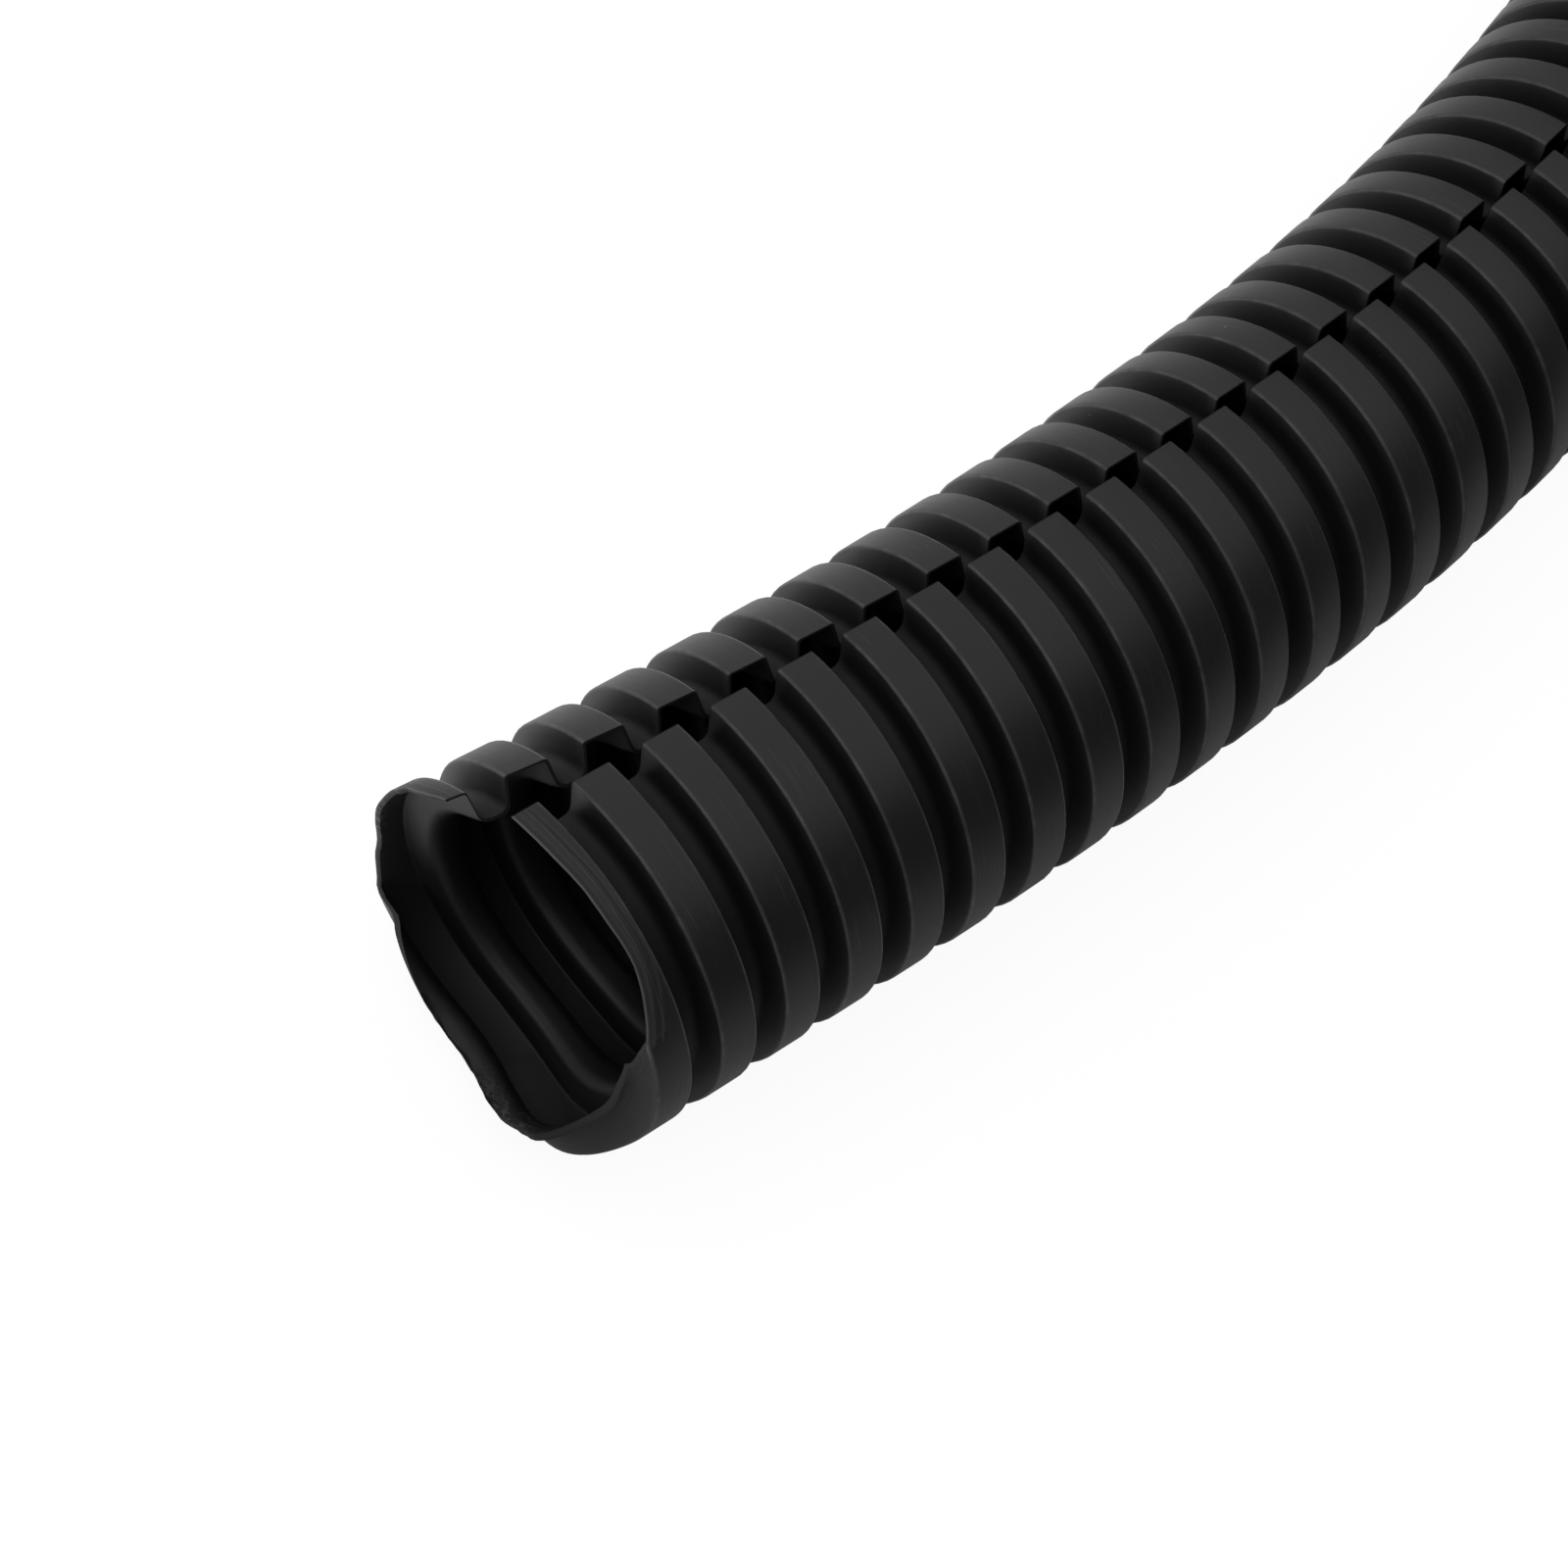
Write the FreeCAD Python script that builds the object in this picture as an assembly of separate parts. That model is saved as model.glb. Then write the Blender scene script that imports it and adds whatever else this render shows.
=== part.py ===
# Split corrugated conduit: one plastic tube, corrugated all along, slit along one side and cut to length.
# It lies on the floor in a wide U. Its near end is an oblique hand cut, and its far end a square one.
# Origin: on the floor at the middle of its footprint. +X runs into the mouth of the near end and +Z is up.
import FreeCAD, Part
import math
import os

from FreeCAD import Rotation, Vector

Vector2d = FreeCAD.Base.Vector2d

doc = FreeCAD.newDocument("SplitConduit")

# Driving dimensions, in millimetres and degrees
sizes = [
    ("stock_length", 500.0),
    ("outer_diameter", 15.8),
    ("wave_depth", 1.5),
    ("wall", 0.35),
    ("pitch", 3.125),
    ("crest_width", 1.68),
    ("flank_run", 0.22),
    ("near_straight", 16.0),
    ("easing_length", 25.0),
    ("easing_radius", 260.0),
    ("far_straight", 30.0),
    ("whole_turn", 180.0),
    ("slit_angle", 52.0),
    ("slit_turn", 175.0),
    ("slit_gap", 0.5),
    ("mouth_gap", 2.9),
    ("closing_length", 9.0),
    ("lip_shift", 1.5),
    ("cut_at_slit", 0.5),
    ("cut_slant", 1.05),
]
sheet = doc.addObject("Spreadsheet::Sheet", "Sizes")
for row, (alias, value) in enumerate(sizes, start=1):
    sheet.set("A%d" % row, alias)
    sheet.set("B%d" % row, str(value))
    sheet.setAlias("B%d" % row, alias)
doc.recompute()


def size(alias):
    return float(sheet.get(alias))


# Section. The wall is as thick on the flanks as on the crests, which moves its inner corners along the axis.
crest_radius = size("outer_diameter") / 2
valley_radius = crest_radius - size("wave_depth")
crest_inside = crest_radius - size("wall")
bore_radius = valley_radius - size("wall")
flank_length = math.hypot(size("flank_run"), size("wave_depth"))
corner_move = size("wall") * (flank_length - size("flank_run")) / size("wave_depth")
valley_width = size("pitch") - size("crest_width") - 2 * size("flank_run")
outside = (crest_radius, size("crest_width"), valley_radius, valley_width)
inside = (
    crest_inside,
    size("crest_width") - 2 * corner_move,
    bore_radius,
    valley_width + 2 * corner_move,
)

# The stock is cut in the middle of a valley at both ends, so it holds whole waves, as many as fit its length
crest_count = round(size("stock_length") / size("pitch"))
tube_length = crest_count * size("pitch")

# Centreline, as lengths and curvatures: straight mouth, easing bend, main bend and straight tail
easing_turn = size("easing_length") / size("easing_radius")
straight_lengths = size("near_straight") + size("far_straight")
bend_length = tube_length - straight_lengths - size("easing_length")
bend_radius = bend_length / (math.radians(size("whole_turn")) - easing_turn)
runs = [
    (size("near_straight"), 0.0),
    (size("easing_length"), 1 / size("easing_radius")),
    (bend_length, 1 / bend_radius),
]

# The tube lies a little twisted, which winds the slit round it and puts one lip ahead of the other
twist_rate = math.radians(size("slit_turn")) / tube_length

# Fineness of the hand cut's curve round the tube, and the widest gap that is sewn up between two faces
cut_steps = 24
sewing_gap = 1e-4


def course(along):
    """Position on the floor and heading of the centreline, from the mouth at zero, where it heads along X."""
    x, y, heading, left = 0.0, 0.0, 0.0, along
    for length, curvature in runs:
        step = min(left, length)
        turned = heading + step * curvature
        if curvature:
            x += (math.sin(turned) - math.sin(heading)) / curvature
            y += (math.cos(heading) - math.cos(turned)) / curvature
        else:
            x += step
        heading = turned
        left -= step
        if left <= 0:
            break
    beyond = max(left, 0.0)
    return x + beyond * math.cos(heading), y + beyond * math.sin(heading), heading


def middle_of_footprint():
    """Middle of the rectangle of floor that the tube covers. At the tail one lip stands out past the end."""
    x, y, heading = course(tube_length + size("lip_shift") / 2)
    reaches_x = [x]
    reaches_y = [y]
    for number in range(crest_count + 1):
        x, y, heading = course(number * size("pitch"))
        for side in (-crest_radius, crest_radius):
            reaches_x.append(x - side * math.sin(heading))
            reaches_y.append(y + side * math.cos(heading))
    return (min(reaches_x) + max(reaches_x)) / 2, (min(reaches_y) + max(reaches_y)) / 2


middle_x, middle_y = middle_of_footprint()


def station(along):
    """Placement on the centreline. Local Z runs along the tube, local X points left and local Y up."""
    x, y, heading = course(along)
    forward = Vector(math.cos(heading), math.sin(heading), 0)
    sideways = Vector(-math.sin(heading), math.cos(heading), 0)
    turn = Rotation(sideways, Vector(0, 0, 1), forward, "ZXY")
    return FreeCAD.Placement(Vector(x - middle_x, y - middle_y, crest_radius), turn)


def lip_angles(along):
    """Angle of the right lip and, once round the tube, of the left one. The slit stands open at the mouth."""
    centre = math.radians(size("slit_angle")) + twist_rate * along
    opened = math.exp(-along / size("closing_length"))
    gap = size("slit_gap") + (size("mouth_gap") - size("slit_gap")) * opened
    half = gap / (2 * crest_radius)
    return centre + half, centre - half + 2 * math.pi


def band(along, radius, width):
    """One crest or valley as a cylindrical face from lip to lip, with its front and rear edges."""
    right, left = lip_angles(along)
    lean = size("lip_shift") / 2
    front = [Vector2d(right, lean - width / 2), Vector2d(left, -lean - width / 2)]
    rear = [Vector2d(right, lean + width / 2), Vector2d(left, -lean + width / 2)]
    cylinder = Part.Cylinder()
    cylinder.Radius = radius
    sides = [front, [front[1], rear[1]], [rear[1], rear[0]], [rear[0], front[0]]]
    outline = [Part.Geom2d.Line2dSegment(a, b).toShape(cylinder) for a, b in sides]
    edges = [Part.Geom2d.Line2dSegment(a, b).toShape(cylinder) for a, b in (front, rear)]
    place = station(along).toMatrix()
    face = Part.Face(cylinder, Part.Wire(outline)).transformed(place)
    return face, edges[0].transformed(place), edges[1].transformed(place)


def skin(crest_r, crest_width, valley_r, width_between):
    """One side of the wall, from half a valley at the mouth to half of one at the tail, and its edges in order."""
    bands = [(width_between / 4, valley_r, width_between / 2)]
    for number in range(crest_count):
        middle = (number + 0.5) * size("pitch")
        bands.append((middle, crest_r, crest_width))
        bands.append((middle + size("pitch") / 2, valley_r, width_between))
    bands[-1] = (tube_length - width_between / 4, valley_r, width_between / 2)
    faces = []
    edges = []
    for along, radius, width in bands:
        face, front, rear = band(along, radius, width)
        if edges:
            faces.append(Part.makeRuledSurface(edges[-1], front))
        faces.append(face)
        edges += [front, rear]
    return faces, edges


def closing_faces(outer_edges, inner_edges):
    """The cut wall along both lips and round both ends."""
    faces = [Part.makeRuledSurface(outer_edges[i], inner_edges[i]) for i in (0, -1)]
    for which in ("FirstParameter", "LastParameter"):
        outer_line = [edge.valueAt(getattr(edge, which)) for edge in outer_edges]
        inner_line = [edge.valueAt(getattr(edge, which)) for edge in inner_edges]
        for i in range(len(outer_line) - 1):
            outer_side = Part.makeLine(outer_line[i], outer_line[i + 1])
            inner_side = Part.makeLine(inner_line[i], inner_line[i + 1])
            faces.append(Part.makeRuledSurface(outer_side, inner_side))
    return faces


def corrugated_wall():
    """The wall of the whole stock, before the near end is cut by hand."""
    outer_faces, outer_edges = skin(*outside)
    inner_faces, inner_edges = skin(*inside)
    wall = Part.makeCompound(outer_faces + inner_faces + closing_faces(outer_edges, inner_edges))
    wall.sewShape(sewing_gap)
    solid = Part.Solid(wall)
    if solid.Volume < 0:
        solid.reverse()
    return solid


def hand_cut():
    """What the oblique cut takes off: up to just before the middle of the first crest at the slit, and up to
    the valley before it at the far side. The lips shifted after the cut, so it leans as the waves do."""
    right, left = lip_angles(0.0)
    overlap = size("wall") / crest_radius
    inner_points = []
    outer_points = []
    for i in range(cut_steps + 1):
        share = i / cut_steps
        angle = right - overlap + (left - right + 2 * overlap) * share
        lean = size("lip_shift") * (0.5 - share)
        ahead = size("cut_at_slit") + size("cut_slant") / 2 * (1 - math.cos(2 * math.pi * share))
        around = Vector(math.cos(angle), math.sin(angle), 0)
        middle = Vector(0, 0, size("pitch") / 2 + lean - ahead)
        inner_points.append(middle + around * (bore_radius - size("wall")))
        outer_points.append(middle + around * (crest_radius + size("wall")))
    edges = []
    for points in (inner_points, outer_points):
        curve = Part.BSplineCurve()
        curve.interpolate(points)
        edges.append(curve.toShape())
    front = Part.makeRuledSurface(edges[0], edges[1])
    waste = front.extrude(Vector(0, 0, -2 * size("pitch")))
    return waste.transformed(station(0.0).toMatrix())


whole_stock = doc.addObject("Part::Feature", "WholeStock")
whole_stock.Shape = corrugated_wall()
mouth_waste = doc.addObject("Part::Feature", "MouthWaste")
mouth_waste.Shape = hand_cut()
conduit = doc.addObject("Part::Cut", "Conduit")
conduit.Base = whole_stock
conduit.Tool = mouth_waste
conduit.Refine = False
conduit.Label = "conduit_tube"
doc.recompute()

for thing in doc.Objects:
    if "Invalid" in thing.State or "Error" in thing.State:
        raise RuntimeError(thing.Name + " failed to build")
if conduit.Shape.isNull() or not conduit.Shape.isValid() or len(conduit.Shape.Solids) != 1:
    raise RuntimeError("the conduit is not one valid solid")

os.makedirs("parts", exist_ok=True)
conduit.Shape.exportStep("parts/" + conduit.Label + ".step")
print("volume mm3:", round(conduit.Shape.Volume, 1), "bend radius mm:", round(bend_radius, 1))
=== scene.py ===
# Split corrugated conduit: a length of black plastic tube lying in a U, seen from above its hand-cut mouth.
import math

import bpy
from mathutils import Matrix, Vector


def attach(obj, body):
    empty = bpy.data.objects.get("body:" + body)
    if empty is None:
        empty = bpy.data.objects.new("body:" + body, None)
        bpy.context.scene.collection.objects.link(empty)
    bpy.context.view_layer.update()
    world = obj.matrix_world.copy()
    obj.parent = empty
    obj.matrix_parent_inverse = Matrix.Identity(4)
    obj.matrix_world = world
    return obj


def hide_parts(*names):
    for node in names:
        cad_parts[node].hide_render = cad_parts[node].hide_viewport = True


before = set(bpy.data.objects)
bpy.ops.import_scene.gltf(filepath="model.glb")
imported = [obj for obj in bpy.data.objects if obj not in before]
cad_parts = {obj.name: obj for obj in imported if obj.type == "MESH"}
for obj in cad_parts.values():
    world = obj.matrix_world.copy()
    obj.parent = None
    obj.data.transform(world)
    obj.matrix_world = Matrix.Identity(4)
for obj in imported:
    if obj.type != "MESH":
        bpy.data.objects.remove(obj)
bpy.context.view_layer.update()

# The view: from above the mouth and a little before it, along the line of the tube. The lens is long enough
# to keep the waves parallel, and the frame takes in the first nine centimetres of the conduit.
lens_data = bpy.data.cameras.new("view")
lens_data.lens = 74.53
lens_data.sensor_width = 36.0
lens_data.clip_start = 0.01
camera = bpy.data.objects.new("view", lens_data)
camera.location = (-0.124363, -0.155262, 0.126331)
camera.rotation_euler = [math.radians(angle) for angle in (19.265, -15.797, -35.814)]
bpy.context.scene.collection.objects.link(camera)
bpy.context.scene.camera = camera


# The conduit: one thin wall of black plastic in moulded waves. A blade slit it along its length, and a hand
# cut took it off the coil. It lies in a U, a little twisted, so that the slit winds round it and one lip
# stands half a wave ahead of the other. Sizes are in millimetres and degrees.
pitch = 3.125
crest_radius = 7.9
wave_depth = 1.5
crest_wall = 0.22
flank_wall = 0.28
shaved_flank = 0.08
valley_wall = 0.35
crest_round_outside = 0.14
valley_round_outside = 0.42
crest_round_inside = 0.12
valley_round_inside = 0.50
crest_width = 1.68
flank_run = 0.22
wave_count = 160
near_straight = 16.0
easing_length = 25.0
easing_radius = 260.0
far_straight = 30.0
slit_angle = 52.0
slit_turn = 175.0
slit_gap = 0.5
mouth_gap = 2.9
closing_length = 9.0
lip_shift = 1.5
mouth_spread = 0.7
mouth_sway = 0.38
mouth_skew = 0.5
mouth_easing = 15.0
left_lead = 0.5
bottom_lead = 0.35
press_angle = 224.0
press_breadth = 24.0
press_length = 4.0
press_bulge = 0.75
press_lead = 1.3
middle_of_footprint = (86.443, 141.142)

tube_length = wave_count * pitch
bend_length = tube_length - near_straight - easing_length - far_straight
bend_radius = bend_length / (math.pi - easing_length / easing_radius)
flank_length = math.hypot(flank_run, wave_depth)
corner_share = (flank_length - flank_run) / wave_depth


def rounded_corner(before, corner, after, radius, steps):
    """Points of an arc that rounds a corner of the wave's section, from one tangent point to the other."""
    into = math.atan2(corner[1] - before[1], corner[0] - before[0])
    away = math.atan2(after[1] - corner[1], after[0] - corner[0])
    turn = away - into
    reach = radius * math.tan(abs(turn) / 2)
    side = 1 if turn > 0 else -1
    start = (corner[0] - reach * math.cos(into), corner[1] - reach * math.sin(into))
    centre = (start[0] - side * radius * math.sin(into), start[1] + side * radius * math.cos(into))
    points = []
    for step in range(steps + 1):
        heading = into + turn * step / steps
        points.append((
            centre[0] + side * radius * math.sin(heading),
            centre[1] - side * radius * math.cos(heading),
        ))
    return points


def wave_side(crest, valley, move, crest_round, valley_round, crest_steps, valley_steps):
    """One side of one wave, valley middle to valley middle, as (along, radius, how near a crest corner)."""
    half = crest_width / 2 - move
    foot = half + flank_run
    corners = [
        (-pitch / 2, valley),
        (-foot, valley),
        (-half, crest),
        (half, crest),
        (foot, valley),
        (pitch / 2, valley),
    ]
    places = [(corners[0][0], corners[0][1], 0.0)]
    for i in range(1, 5):
        at_crest = i in (2, 3)
        radius = crest_round if at_crest else valley_round
        steps = crest_steps if at_crest else valley_steps
        if steps:
            arc = rounded_corner(corners[i - 1], corners[i], corners[i + 1], radius, steps)
        else:
            arc = [corners[i]]
        places += [(along, high, float(at_crest)) for along, high in arc]
    return places


def wave_section(name, crest_steps, valley_steps, flank):
    """Points of one wave for the tree to read: first its outside, then as many for its inside. The thickness
    of the flanks moves the inside's corners along the tube."""
    outside = wave_side(
        crest_radius,
        crest_radius - wave_depth,
        0.0,
        crest_round_outside,
        valley_round_outside,
        crest_steps,
        valley_steps,
    )
    inside = wave_side(
        crest_radius - crest_wall,
        crest_radius - wave_depth - valley_wall,
        flank * corner_share,
        crest_round_inside,
        valley_round_inside,
        crest_steps,
        valley_steps,
    )
    mesh = bpy.data.meshes.new(name)
    mesh.from_pydata(outside + inside, [], [])
    return bpy.data.objects.new(name, mesh), len(outside)


class Wire:
    """An output of a tree that sums like a number, so that the tree's formulas read as formulas."""

    def __init__(self, tree, socket):
        self.tree = tree
        self.socket = socket

    def math(self, operation, *others):
        node = self.tree.nodes.new("ShaderNodeMath")
        node.operation = operation
        for socket, value in zip(node.inputs, (self,) + others):
            plug(self.tree, socket, value)
        return Wire(self.tree, node.outputs[0])

    def __add__(self, other):
        return self.math("ADD", other)

    def __sub__(self, other):
        return self.math("SUBTRACT", other)

    def __mul__(self, other):
        return self.math("MULTIPLY", other)

    def __truediv__(self, other):
        return self.math("DIVIDE", other)

    def __rsub__(self, other):
        return (self * -1.0) + other

    def over(self, limit):
        return self.math("GREATER_THAN", limit)

    def under(self, limit):
        return self.math("LESS_THAN", limit)

    def within(self, low, high):
        return self.math("MAXIMUM", low).math("MINIMUM", high)

    def toward(self, other, share):
        return self + (other - self) * share


def plug(tree, socket, value):
    """Links an output to an input, or sets the input's own value."""
    if isinstance(value, Wire):
        tree.links.new(value.socket, socket)
    else:
        socket.default_value = value


def add(tree, kind, values=(), **settings):
    """One more node of a tree, with its settings and the values of its inputs, by name."""
    node = tree.nodes.new(kind)
    for name, setting in settings.items():
        setattr(node, name, setting)
    for name, value in dict(values).items():
        plug(tree, node.inputs[name], value)
    return node


def first(tree, node, name=0):
    """An output of a node, ready for a formula."""
    return Wire(tree, node.outputs[name])


def keep(tree, geometry, name, value):
    """Stores a value on every point of the geometry under a name."""
    values = {"Geometry": geometry, "Name": name, "Value": value}
    return first(tree, add(tree, "GeometryNodeStoreNamedAttribute", values, data_type="FLOAT"))


def recall(tree, name):
    """The value that was stored under a name."""
    return first(tree, add(tree, "GeometryNodeInputNamedAttribute", {"Name": name}, data_type="FLOAT"))


def bell(value, middle, breadth):
    """One where the value is at the middle, fading to nothing within about two breadths on either side."""
    off = (value - middle) / breadth
    return (off * off * -1.0).math("EXPONENT")


def thinned(share):
    """How much of the wall's thickness is left beside the lips, where the blade bevelled it."""
    fade = 80.0
    bevel = 0.6
    beside_lips = (share * -fade).math("EXPONENT") + (share * fade - fade).math("EXPONENT")
    return 1.0 - beside_lips * bevel


def corrugated_run(tree, section, wave_rows, first_wave, waves, steps, joint_steps, closed):
    """A flat strip for some waves. Each point holds its place on the wall: share of the way round from lip
    to lip, length along, radius, and depth in the wall. The columns go round the outside and back inside.
    An end that is closed has one row more, in the middle of the wall's thickness."""
    outer_steps, inner_steps = steps
    body_rows = waves * wave_rows + 1
    rows = body_rows + closed[0] + closed[1]
    columns = outer_steps + inner_steps + 3
    grid = add(tree, "GeometryNodeMeshGrid", {"Vertices X": columns, "Vertices Y": rows})
    index = first(tree, add(tree, "GeometryNodeInputIndex"))
    column = ((index + 0.5) / float(rows)).math("FLOOR")
    row = index - column * float(rows)
    body_row = (row - float(closed[0])).within(0.0, body_rows - 1.0)
    wave = ((body_row + 0.5) / float(wave_rows)).math("FLOOR")
    place = body_row - wave * float(wave_rows)
    geometry = first(tree, add(tree, "GeometryNodeObjectInfo", {"Object": section}), "Geometry")
    position = first(tree, add(tree, "GeometryNodeInputPosition"))
    sides = []
    for offset in (0.0, float(wave_rows)):
        values = {"Geometry": geometry, "Value": position, "Index": place + offset + 0.25}
        sample = add(tree, "GeometryNodeSampleIndex", values, data_type="FLOAT_VECTOR")
        parts = add(tree, "ShaderNodeSeparateXYZ", {"Vector": first(tree, sample)})
        sides.append([first(tree, parts, axis) for axis in "XYZ"])
    last = column.over(columns - 1.5)
    inside = column.over(outer_steps + 0.5) * (1.0 - last)
    outer_share = column / float(outer_steps)
    inner_share = 1.0 - (column - (outer_steps + 1.0)) / float(inner_steps)
    share = outer_share.toward(inner_share, inside) * (1.0 - last)
    at_end = row.under(0.5) * float(closed[0])
    at_end = at_end + row.over(rows - 1.5) * float(closed[1])
    at_joint = body_row.over(body_rows - 1.5) * float(not closed[1])
    joint = inside * float(joint_steps[1] - joint_steps[0]) + float(joint_steps[0])
    share = share.toward((share * joint).math("ROUND") / joint, at_joint)
    share = share.toward((share * float(inner_steps)).math("ROUND") / float(inner_steps), at_end)
    depth = inside.toward(at_end * 0.5, at_end)
    along, radius, corner = [a.toward(b, depth * thinned(share)) for a, b in zip(*sides)]
    along = along + (wave + (first_wave + 0.5)) * pitch
    strip = first(tree, grid, "Mesh")
    for name, value in (
        ("share", share),
        ("depth", depth),
        ("along", along),
        ("radius", radius),
        ("corner", corner),
        ("end", at_end),
    ):
        strip = keep(tree, strip, name, value)
    return strip


tree = bpy.data.node_groups.new("split_conduit", "GeometryNodeTree")
named_sizes = {
    "Pitch": pitch,
    "Crest Radius": crest_radius,
    "Wave Depth": wave_depth,
    "Crest Wall": crest_wall,
    "Valley Wall": valley_wall,
    "Crest Width": crest_width,
    "Flank Run": flank_run,
    "Near Straight": near_straight,
    "Easing Length": easing_length,
    "Easing Radius": easing_radius,
    "Bend Length": bend_length,
    "Bend Radius": bend_radius,
    "Slit Angle": math.radians(slit_angle),
    "Slit Turn": math.radians(slit_turn) / tube_length,
    "Slit Gap": slit_gap,
    "Mouth Gap": mouth_gap,
    "Closing Length": closing_length,
    "Lip Shift": lip_shift,
    "Mouth Spread": mouth_spread,
    "Mouth Sway": mouth_sway,
    "Mouth Skew": mouth_skew,
    "Mouth Easing": mouth_easing,
    "Left Lead": left_lead,
    "Bottom Lead": bottom_lead,
    "Press Angle": math.radians(press_angle),
    "Press Breadth": math.radians(press_breadth),
    "Press Length": press_length,
    "Press Bulge": press_bulge,
    "Press Lead": press_lead,
    "Seed": 7.0,
}
sockets = {}
for name in named_sizes:
    sockets[name] = tree.interface.new_socket(name, in_out="INPUT", socket_type="NodeSocketFloat")
sockets["Plastic"] = tree.interface.new_socket("Plastic", in_out="INPUT", socket_type="NodeSocketMaterial")
tree.interface.new_socket("Geometry", in_out="OUTPUT", socket_type="NodeSocketGeometry")
given_node = add(tree, "NodeGroupInput")
given = {name: first(tree, given_node, name) for name in sockets}

# Fine waves where the eye comes nearest, plainer ones where the tube runs on out of the picture. Each run
# has its first wave and the one after its last, its steps round the outside and the inside, the same two
# where the next run joins it, and whether its front and its rear end are closed.
mouth_section, mouth_rows = wave_section("mouth_wave", 3, 3, shaved_flank)
fine_section, fine_rows = wave_section("fine_wave", 3, 3, flank_wall)
medium_section, medium_rows = wave_section("medium_wave", 1, 2, flank_wall)
plain_section, plain_rows = wave_section("plain_wave", 0, 1, flank_wall)
joined = add(tree, "GeometryNodeJoinGeometry")
for section, wave_rows, first_wave, last_wave, steps, joint_steps, closed in (
    (mouth_section, mouth_rows, -1, 1, (144, 144), (72, 72), (1, 0)),
    (fine_section, fine_rows, 1, 8, (72, 72), (72, 36), (0, 0)),
    (medium_section, medium_rows, 8, 28, (72, 36), (36, 12), (0, 0)),
    (plain_section, plain_rows, 28, 155, (36, 12), (36, 12), (0, 0)),
    (medium_section, medium_rows, 155, 160, (36, 12), (36, 12), (0, 1)),
):
    waves = last_wave - first_wave
    strip = corrugated_run(tree, section, wave_rows, first_wave, waves, steps, joint_steps, closed)
    tree.links.new(strip.socket, joined.inputs[0])

# The hand cut, as its distance from the first crest's middle at each share of the way round
cut_low, cut_high = -2.6, 0.6
cut_places = [
    (0.000, -0.36),
    (0.050, -0.31),
    (0.077, -0.23),
    (0.110, -0.18),
    (0.143, -0.09),
    (0.165, -0.20),
    (0.188, -0.45),
    (0.208, -0.71),
    (0.216, -0.84),
    (0.238, -0.94),
    (0.265, -1.03),
    (0.284, -1.20),
    (0.310, -1.44),
    (0.380, -1.48),
    (0.430, -1.56),
    (0.455, -1.65),
    (0.478, -1.60),
    (0.500, -1.74),
    (0.527, -1.93),
    (0.545, -2.00),
    (0.565, -2.04),
    (0.605, -2.09),
    (0.635, -2.02),
    (0.660, -1.85),
    (0.690, -1.62),
    (0.714, -1.42),
    (0.730, -1.26),
    (0.741, -1.07),
    (0.754, -0.83),
    (0.768, -0.62),
    (0.790, -0.45),
    (0.815, -0.24),
    (0.840, -0.27),
    (0.857, -0.28),
    (0.880, -0.15),
    (0.905, -0.08),
    (0.930, -0.22),
    (0.944, -0.08),
    (0.965, -0.14),
    (0.980, -0.05),
    (1.000, 0.08),
]
share = recall(tree, "share")
depth = recall(tree, "depth") * thinned(share)
along = recall(tree, "along")
radius = recall(tree, "radius")
curve = add(tree, "ShaderNodeFloatCurve", {"Value": share})
points = curve.mapping.curves[0].points
for number, (place, distance) in enumerate(cut_places):
    high = (distance - cut_low) / (cut_high - cut_low)
    if number == 0:
        points[0].location = (place, high)
    elif number == len(cut_places) - 1:
        points[-1].location = (place, high)
    else:
        points.new(place, high)
for point in points:
    point.handle_type = "AUTO_CLAMPED"
curve.mapping.update()
jags_round = 90.0
torn_rate = 30.0
torn_from = 0.88
flap_middle = 0.5
flap_breadth = 0.035
jag_place = add(tree, "ShaderNodeCombineXYZ", {"X": share * jags_round, "Y": given["Seed"]})
jag = add(tree, "ShaderNodeTexNoise", {"Vector": first(tree, jag_place), "Scale": 1.0, "Detail": 3.0})
torn_lip = (share * torn_rate - torn_rate * torn_from).within(0.0, 1.0)
flap = bell(share, flap_middle, flap_breadth)
ragged = (first(tree, jag) - 0.5) * (torn_lip * 0.22 + flap * 0.2 + 0.03)
cut = first(tree, curve) * (cut_high - cut_low) + cut_low + ragged + given["Pitch"] * 0.5

# Inside, the cut lies farther from the valley, by as much as the flank's thickness moves the corners there
crossing_rate = 4.0
inner_move = depth * (shaved_flank * corner_share)
cut = cut + inner_move * (cut * crossing_rate).within(-1.0, 1.0)
wave_start = (cut / given["Pitch"]).math("FLOOR") * given["Pitch"]
from_crest = (cut - wave_start - given["Pitch"] * 0.5).math("ABSOLUTE")
half_crest = given["Crest Width"] * 0.5
down_flank = ((from_crest + inner_move - half_crest) / given["Flank Run"]).within(0.0, 1.0)
wall_there = given["Crest Wall"].toward(given["Valley Wall"], down_flank)
cut_radius = given["Crest Radius"] - given["Wave Depth"] * down_flank - wall_there * depth
cut_off = along.under(cut)
radius = radius.toward(cut_radius, cut_off)
along = along.math("MAXIMUM", cut)

# Round the tube from the right lip to the left one, which stand apart at the mouth and close behind it
centre = given["Slit Angle"] + given["Slit Turn"] * along
opened = (along * -1.0 / given["Closing Length"]).math("EXPONENT")
gap = given["Slit Gap"].toward(given["Mouth Gap"], opened)
half_gap = gap / (given["Crest Radius"] * 2.0)
angle = centre + half_gap + share * (2.0 * math.pi - half_gap * 2.0)

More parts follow.
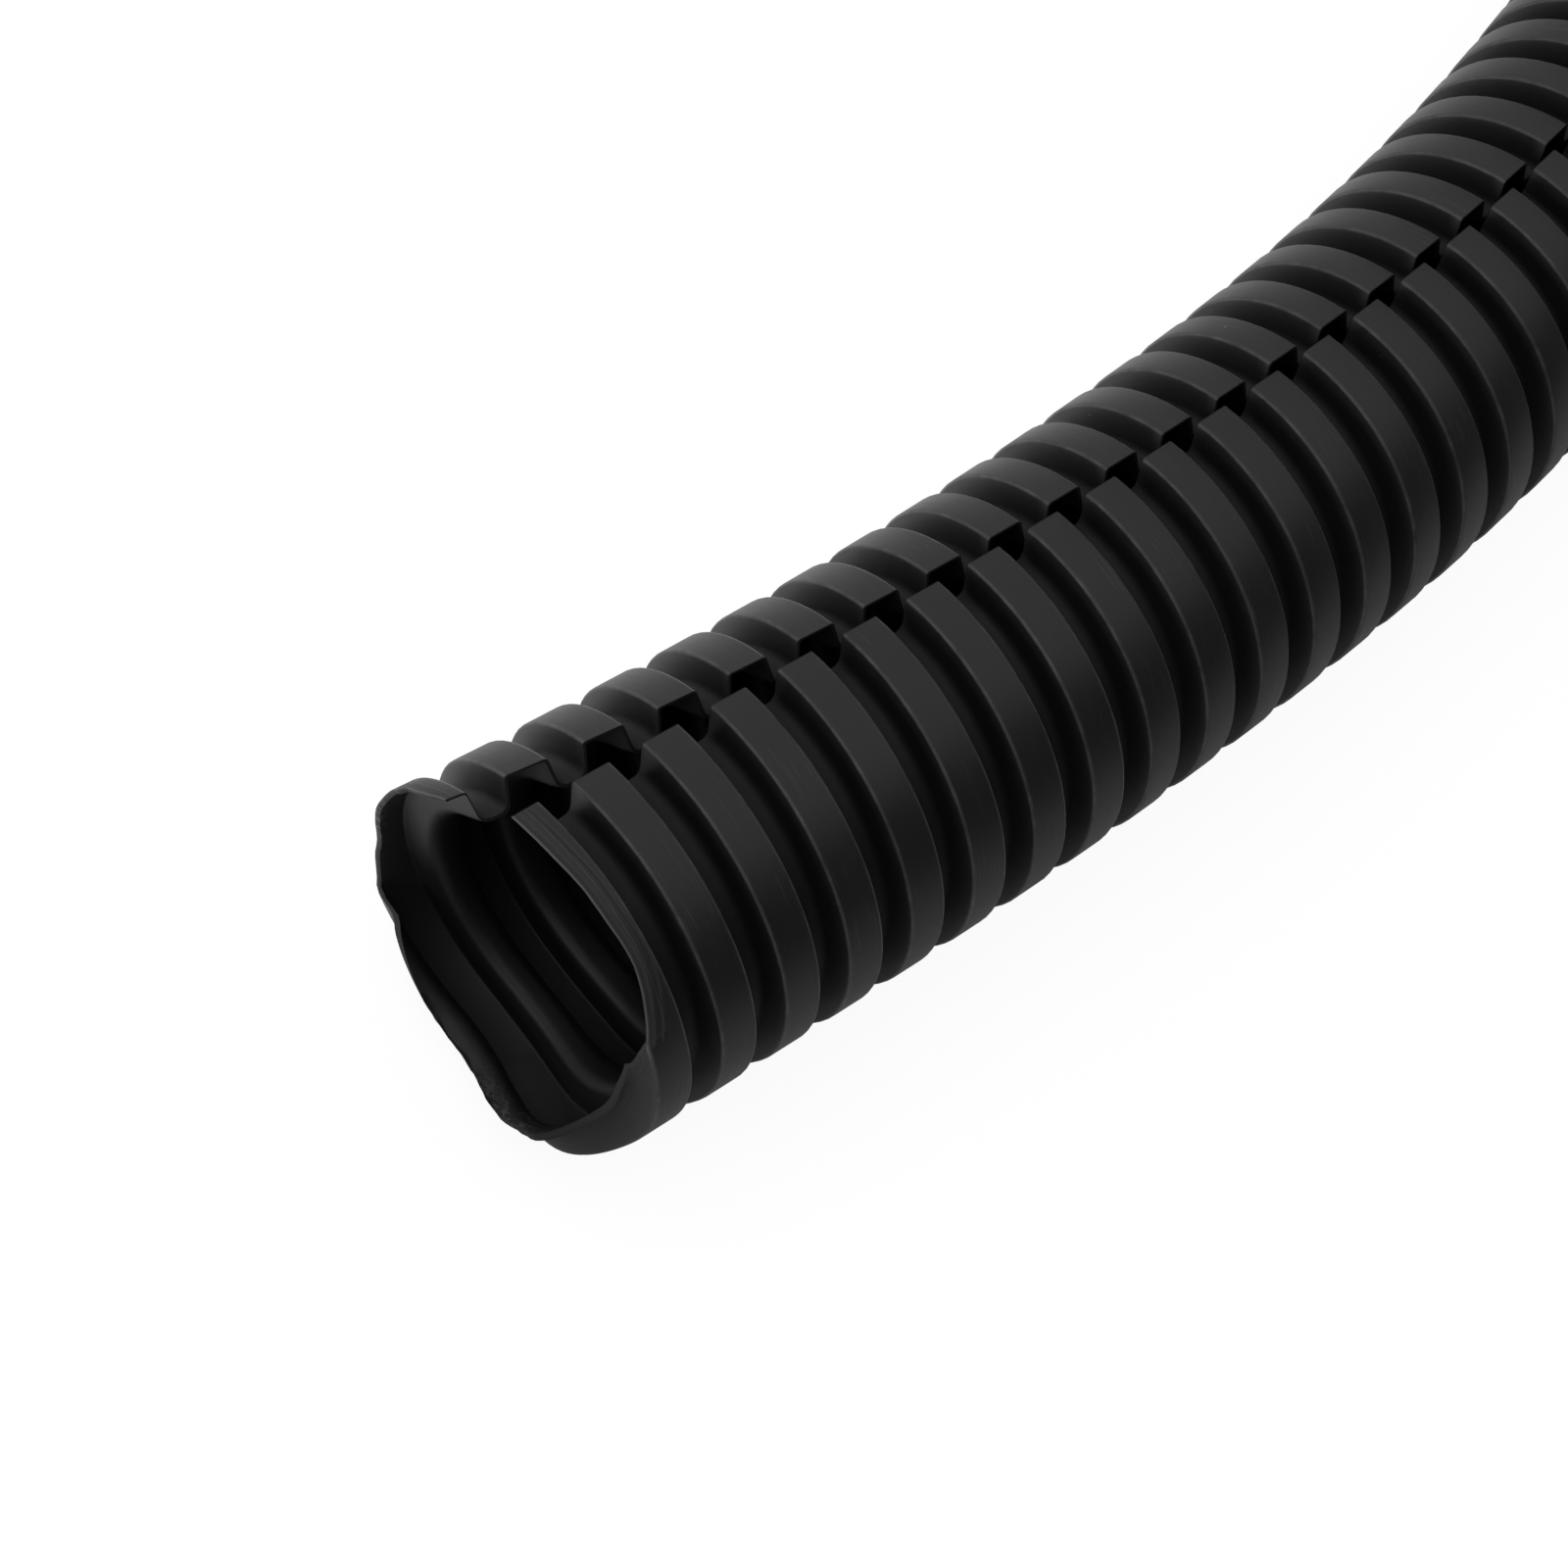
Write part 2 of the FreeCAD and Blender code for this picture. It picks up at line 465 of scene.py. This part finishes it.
# The mouth is out of true: the open slit spreads it, its left side stands forward, and the blade that cut it
# pressed its lower right out
eased_in = (along * -1.0 / given["Mouth Easing"]).math("EXPONENT")
near_cut = (along * -1.0 / given["Press Length"]).math("EXPONENT")
pressed = bell(angle, given["Press Angle"], given["Press Breadth"]) * near_cut
leftward = angle.math("COSINE")
downward = angle.math("SINE") * -1.0
lead = given["Bottom Lead"] * opened * downward.math("MAXIMUM", 0.0)
lead = lead + given["Mouth Skew"] * eased_in * leftward
lead = lead + given["Left Lead"] * near_cut * leftward.math("MAXIMUM", 0.0) + given["Press Lead"] * pressed
spread = given["Mouth Spread"] * opened * (leftward * 0.5 + 0.5) + given["Mouth Sway"] * eased_in
pushed_radius = radius + given["Press Bulge"] * pressed

# Along the floor: straight, an easing bend, the main bend and straight again
reach = along + given["Lip Shift"] * (0.5 - share) - lead
easing_end = given["Near Straight"] + given["Easing Length"]
bend_end = easing_end + given["Bend Length"]
eased = (reach - given["Near Straight"]).within(0.0, given["Easing Length"]) / given["Easing Radius"]
bent = (reach - easing_end).within(0.0, given["Bend Length"]) / given["Bend Radius"]
heading = eased + bent
beyond = (reach - bend_end).math("MAXIMUM", 0.0)
easing = given["Easing Radius"]
bend = given["Bend Radius"]
run_x = reach.math("MINIMUM", given["Near Straight"]) + easing * eased.math("SINE")
run_x = run_x + bend * (heading.math("SINE") - eased.math("SINE")) + beyond * heading.math("COSINE")
run_y = easing * (1.0 - eased.math("COSINE"))
run_y = run_y + bend * (eased.math("COSINE") - heading.math("COSINE")) + beyond * heading.math("SINE")
sideways = pushed_radius * leftward + spread
place_x = (run_x - sideways * heading.math("SINE") - middle_of_footprint[0]) * 0.001
place_y = (run_y + sideways * heading.math("COSINE") - middle_of_footprint[1]) * 0.001
place_z = (given["Crest Radius"] - pushed_radius * downward).math("MAXIMUM", 0.0) * 0.001
place = first(tree, add(tree, "ShaderNodeCombineXYZ", {"X": place_x, "Y": place_y, "Z": place_z}))

wall_strip = keep(tree, first(tree, joined), "cut", cut_off.math("MAXIMUM", recall(tree, "end")))
wall_strip = keep(tree, wall_strip, "height", (radius - given["Crest Radius"]) / given["Wave Depth"] + 1.0)
wall_strip = keep(tree, wall_strip, "round_angle", angle)
wall_strip = keep(tree, wall_strip, "from_cut", along - cut)
formed = first(tree, add(tree, "GeometryNodeSetPosition", {"Geometry": wall_strip, "Position": place}))
merge_reach = 2e-6
crisp_from = math.radians(52)
merging = {"Geometry": formed, "Distance": merge_reach}
closed_wall = first(tree, add(tree, "GeometryNodeMergeByDistance", merging))
smooth = first(tree, add(tree, "GeometryNodeSetShadeSmooth", {"Geometry": closed_wall}))
edge_angle = first(tree, add(tree, "GeometryNodeInputMeshEdgeAngle"), "Unsigned Angle")
crisp = add(tree, "GeometryNodeSetShadeSmooth", {"Geometry": smooth, "Shade Smooth": False}, domain="EDGE")
tree.links.new(edge_angle.over(crisp_from).socket, crisp.inputs["Selection"])
real = first(tree, add(tree, "GeometryNodeRealizeInstances", {"Geometry": first(tree, crisp)}))
dressed = add(tree, "GeometryNodeSetMaterial", {"Geometry": real, "Material": given["Plastic"]})
result = add(tree, "NodeGroupOutput")
tree.links.new(dressed.outputs[0], result.inputs[0])

# Its plastic is black through and through, satin outside, with the fine rings that its mould left on the
# crests, a little dust, and paler rough edges where it was cut. Its colour also holds painted highlights on
# the crests' corners, furrows and cut rim, painted glints on torn flecks, and painted shade in the valleys
# and on the lips' cut faces
plastic = bpy.data.materials.new("black_conduit_plastic")
plastic.use_nodes = True
look = plastic.node_tree
look.nodes.clear()


def recorded(tree, name):
    """A value of the wall that the conduit's tree stored for its plastic."""
    return first(tree, add(tree, "ShaderNodeAttribute", attribute_name=name), "Fac")


def noise(tree, x, y, z, detail=3.0, roughness=0.55):
    """Soft noise about one unit of its coordinates across."""
    place = first(tree, add(tree, "ShaderNodeCombineXYZ", {"X": x, "Y": y, "Z": z}))
    values = {"Vector": place, "Scale": 1.0, "Detail": detail, "Roughness": roughness}
    return first(tree, add(tree, "ShaderNodeTexNoise", values), "Fac")


def tint(tree, colour, share, other):
    """A colour moved toward another one."""
    node = add(tree, "ShaderNodeMix", {"Factor": share}, data_type="RGBA")
    plug(tree, node.inputs[6], colour)
    plug(tree, node.inputs[7], other)
    return Wire(tree, node.outputs[2])


height = recorded(look, "height").within(0.0, 1.0)
corner = recorded(look, "corner")
depth = recorded(look, "depth")
along = recorded(look, "along")
angle = recorded(look, "round_angle")
cut_edge = recorded(look, "cut")
from_cut = recorded(look, "from_cut")
share = recorded(look, "share")
on_tube = first(look, add(look, "ShaderNodeTexCoord"), "Object")
spot = add(look, "ShaderNodeSeparateXYZ", {"Vector": on_tube})
x, y, z = [first(look, spot, axis) * 1000.0 for axis in "XYZ"]

patches = noise(look, x * 0.22, y * 0.22, z * 0.22)
rings = noise(look, along * 11.0, angle * 1.6, depth * 5.0, 4.0, 0.7)
hairlines = noise(look, along * 10.0, angle * 2.2, 3.0, 2.0)
outside = (1.0 - depth * 2.0).within(0.0, 1.0)
on_crest = (height - 0.9).over(0.0) * outside
scuffed = (patches - 0.52).within(0.0, 0.12) * 8.3 * on_crest
scratch = (hairlines - 0.58).within(0.0, 0.08) * 12.5 * (scuffed * 0.8 + 0.2) * on_crest
grain = noise(look, x * 9.0, y * 9.0, z * 9.0, 2.0)
off_middle = ((along / pitch).math("FRACT") - 0.5) * pitch
# Painted highlight: thin pale lines along the front and rear corners of every crest, broken into patches,
# for the light that the rounded corners catch. They are a little glossier too
highlight_line = crest_width / 2 - 0.05
highlight_breadth = 0.055
highlit_corners = bell(off_middle, -highlight_line, highlight_breadth) + bell(off_middle, highlight_line, highlight_breadth)
highlight_patches = (noise(look, x * 1.3, y * 1.3, z * 1.3) * 1.6 - 0.2).within(0.0, 1.0)
corner_highlight = highlit_corners * highlight_patches * outside
# The lips' cut faces, which the colour below paints near black as shade
lip_face = share.under(0.0008) + share.over(0.9992)

# The blade drew two furrows behind its cut, from the right lip on, and left a pale rim, with pale flecks on
# the flap and at the mouth's left. Their colour paints the furrows and the rim paler still, as painted
# highlights, and the flecks as painted glints
furrows_and_highlight = (bell(from_cut, 0.27, 0.11) + bell(from_cut, 0.74, 0.06) * 0.5) * share.under(0.22) * on_crest
cut_rim_and_highlight = bell(from_cut, 0.0, 0.07) * on_crest
fleck_pattern = (noise(look, x * 3.2, y * 3.2, z * 3.2) - 0.47).within(0.0, 0.12) * 8.3
torn_flap = bell(share, 0.51, 0.04) * bell(from_cut, 0.0, 0.45)
torn_left = bell(share, 0.84, 0.035) * bell(from_cut, 0.0, 0.16)
torn_flecks_and_glints = (torn_flap + torn_left) * fleck_pattern

cell = add(look, "ShaderNodeTexVoronoi", {"Scale": 0.62, "Randomness": 1.0})
millimetres = first(look, add(look, "ShaderNodeCombineXYZ", {"X": x, "Y": y, "Z": z}))
plug(look, cell.inputs["Vector"], millimetres)
chance = add(look, "ShaderNodeSeparateColor", {"Color": first(look, cell, "Color")})
speck_radius = first(look, chance, "Red") * 0.05
speck = first(look, cell, "Distance").under(speck_radius) * first(look, chance, "Green").over(0.82)

colour = tint(look, (0.006, 0.006, 0.0066, 1.0), patches, (0.0115, 0.0112, 0.0115, 1.0))
# Painted highlight: the rounded corners of the crests are painted a little paler
colour = tint(look, colour, corner * 0.3, (0.018, 0.018, 0.020, 1.0))
colour = tint(look, colour, scratch * 0.6, (0.046, 0.046, 0.050, 1.0))
# Painted highlight along the crests' front and rear corners
colour = tint(look, colour, corner_highlight * 0.8, (0.105, 0.105, 0.115, 1.0))
colour = tint(look, colour, cut_edge * 0.6, (0.022, 0.021, 0.020, 1.0))
# Painted highlight: the furrows are painted paler
colour = tint(look, colour, furrows_and_highlight * 0.55, (0.060, 0.060, 0.066, 1.0))
# The pale rim where the blade cut, painted brighter still as a painted highlight along the cut edge
colour = tint(look, colour, cut_rim_and_highlight, (0.120, 0.120, 0.126, 1.0))
# Painted glints: the torn flecks on the flap and at the mouth's left are painted pale
colour = tint(look, colour, torn_flecks_and_glints * 0.8, (0.17, 0.165, 0.165, 1.0))
# Painted shade: the colour darkens down the flanks, most of all in the valleys
colour = tint(look, colour, 0.55 - height * 0.55, (0.003, 0.003, 0.003, 1.0))
# Painted shade: the lips' cut faces in the slit are painted near black
colour = tint(look, colour, lip_face * 0.9, (0.002, 0.002, 0.002, 1.0))
colour = tint(look, colour, speck * outside, (0.20, 0.195, 0.19, 1.0))
rough = patches * 0.10 + rings * 0.14 + 0.32 + scratch * 0.10 + depth * 0.06 + cut_edge * 0.15 + speck * 0.3
rough = rough + (1.0 - height) * outside * 0.22 + furrows_and_highlight * 0.25 + lip_face * 0.3 - corner_highlight * 0.12
relief = rings * on_crest * 0.6 - scratch * 0.4 + grain * 0.25 + speck * 2.0
relief = relief + torn_flecks_and_glints * 4.0 - furrows_and_highlight * 6.0

surface = add(look, "ShaderNodeBsdfPrincipled")
surface.inputs["IOR"].default_value = 1.48
bump = add(look, "ShaderNodeBump", {"Strength": 0.5, "Distance": 2.0e-5, "Height": relief})
plug(look, surface.inputs["Base Color"], colour)
plug(look, surface.inputs["Roughness"], rough)
plug(look, surface.inputs["Normal"], first(look, bump))
output = add(look, "ShaderNodeOutputMaterial")
look.links.new(surface.outputs[0], output.inputs[0])

holder = bpy.data.objects.new("conduit_form", bpy.data.meshes.new("conduit_form"))
bpy.context.scene.collection.objects.link(holder)
former = holder.modifiers.new("form", "NODES")
former.node_group = tree
for name, value in named_sizes.items():
    former[sockets[name].identifier] = value
former[sockets["Plastic"].identifier] = plastic
leveller = holder.modifiers.new("level", "WEIGHTED_NORMAL")
leveller.keep_sharp = True
ready = holder.evaluated_get(bpy.context.evaluated_depsgraph_get())
conduit_mesh = bpy.data.meshes.new_from_object(ready)
conduit_mesh.name = "split_conduit"
conduit = bpy.data.objects.new("split_conduit", conduit_mesh)
bpy.context.scene.collection.objects.link(conduit)
bpy.data.objects.remove(holder)
for section in (mouth_section, fine_section, medium_section, plain_section):
    bpy.data.objects.remove(section)
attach(conduit, "root")
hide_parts("conduit_tube")

# The floor: plain, pale and matt, wide enough to run out of every view. The camera sees it nearly white. To
# all other rays it glows as painted light: dim on the tube's right, brighter on its left, and brightest
# close beside it there, which paints the sheen on the tube's left crests.
floor_mesh = bpy.data.meshes.new("floor")
floor_mesh.from_pydata([(-3, -3, 0), (3, -3, 0), (3, 3, 0), (-3, 3, 0)], [], [(0, 1, 2, 3)])
floor_white = bpy.data.materials.new("floor_white")
floor_white.use_nodes = True
paint = floor_white.node_tree
paint.nodes.clear()
choice = add(paint, "ShaderNodeMixShader")
paint.links.new(add(paint, "ShaderNodeLightPath").outputs["Is Camera Ray"], choice.inputs[0])
on_floor = first(paint, add(paint, "ShaderNodeTexCoord"), "Object")
ground = add(paint, "ShaderNodeSeparateXYZ", {"Vector": on_floor})
bend_from = -0.07
bend_sharpness = 2.7
ahead_of_bend = (first(paint, ground, "X") - bend_from).math("MAXIMUM", 0.0)
off_tube = first(paint, ground, "Y") - ahead_of_bend * ahead_of_bend * bend_sharpness
# Painted light: the floor's glow to other rays, strongest right beside the tube on its left
beside_tube = (off_tube * 110.0 + 15.5).within(0.0, 1.0)
far_left = (off_tube * 45.0 + 5.8).within(0.0, 1.0)
to_other_rays = (0.60, beside_tube * (0.60 - far_left * 0.30) + 0.10)
to_camera = (0.22, 0.91)
for number, (paleness, shine) in enumerate((to_other_rays, to_camera)):
    matt = add(paint, "ShaderNodeBsdfDiffuse", {"Color": (paleness, paleness, paleness, 1.0)})
    glow = add(paint, "ShaderNodeEmission", {"Color": (1.0, 1.0, 1.0, 1.0), "Strength": shine})
    both = add(paint, "ShaderNodeAddShader")
    paint.links.new(matt.outputs[0], both.inputs[0])
    paint.links.new(glow.outputs[0], both.inputs[1])
    paint.links.new(both.outputs[0], choice.inputs[number + 1])
paint_output = add(paint, "ShaderNodeOutputMaterial")
paint.links.new(choice.outputs[0], paint_output.inputs[0])
floor_mesh.materials.append(floor_white)
floor = bpy.data.objects.new("floor", floor_mesh)
bpy.context.scene.collection.objects.link(floor)

# The light: a pale ceiling, a pale wall on the left and a low strip in front, as in a light tent that is
# open on the right, where the room is dim. The picture's tones go straight to the screen, so that the ground
# is full white, as in the photograph.
for name, place, aim, across, high, power in (
    ("tent_roof", (0.10, 0.25, 0.60), (0.0, 0.0, -1.0), 1.60, 1.42, 5.1),
    ("tent_wall", (0.10, 0.96, 0.30), (0.0, -1.0, 0.0), 1.60, 0.60, 2.1),
    ("front_strip", (-0.85, 0.02, 0.26), (0.94, -0.1, -0.32), 0.90, 0.18, 1.3),
):
    lamp_data = bpy.data.lights.new(name, "AREA")
    lamp_data.shape = "RECTANGLE"
    lamp_data.size = across
    lamp_data.size_y = high
    lamp_data.energy = power
    lamp_data.color = (0.99, 0.99, 1.0)
    lamp = bpy.data.objects.new(name, lamp_data)
    lamp.location = place
    lamp.rotation_euler = Vector(aim).to_track_quat("-Z", "Y").to_euler()
    lamp.visible_camera = False
    bpy.context.scene.collection.objects.link(lamp)
room = bpy.data.worlds.new("room")
room.use_nodes = True
air = room.node_tree
air.nodes.clear()
dim = add(air, "ShaderNodeBackground", {"Strength": 0.04})
pale = add(air, "ShaderNodeBackground", {"Strength": 0.90})
ahead = add(air, "ShaderNodeMixShader")
air.links.new(add(air, "ShaderNodeLightPath").outputs["Is Camera Ray"], ahead.inputs[0])
air.links.new(dim.outputs[0], ahead.inputs[1])
air.links.new(pale.outputs[0], ahead.inputs[2])
air_output = add(air, "ShaderNodeOutputWorld")
air.links.new(ahead.outputs[0], air_output.inputs[0])
for background in (dim, pale):
    background.inputs["Color"].default_value = (1.0, 1.0, 1.0, 1.0)
bpy.context.scene.world = room
bpy.context.scene.view_settings.view_transform = "Standard"
